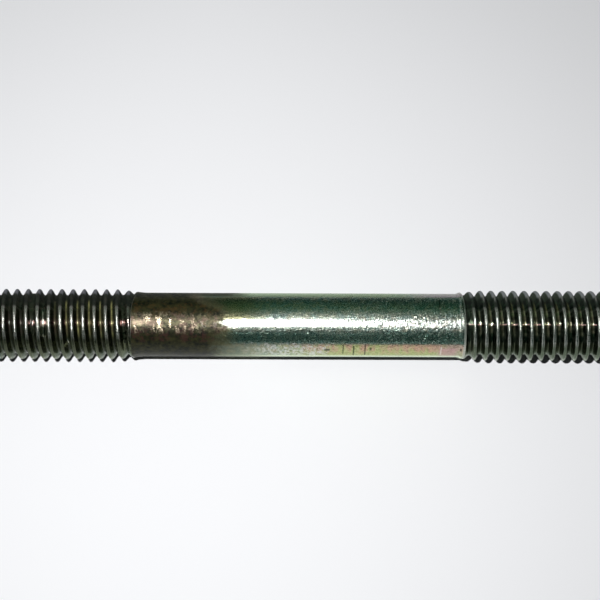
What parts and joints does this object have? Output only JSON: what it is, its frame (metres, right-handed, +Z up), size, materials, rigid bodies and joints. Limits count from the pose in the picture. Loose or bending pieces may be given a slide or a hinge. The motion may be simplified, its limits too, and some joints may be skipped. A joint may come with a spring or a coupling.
{
  "type": "threaded rod",
  "caption": "Short steel threaded rod of the double-ended stud kind: a right-hand thread at each end and a plain reduced shank between, lying on its side.",
  "frame": {"origin": "bottom centre: midway between the two end faces, on the surface that the thread crests rest on", "axes": "+X along the rod, from its left end to its right end as pictured; +Z up from the surface that it lies on"},
  "size_m": [0.08, 0.0078, 0.0079],
  "materials": {
    "plated_steel": "zinc plated and passivated, dulled to green-grey, with a brown stain at one end of the shank"
  },
  "bodies": {
    "root": {"stud": "plated_steel"}
  },
  "joints": []
}
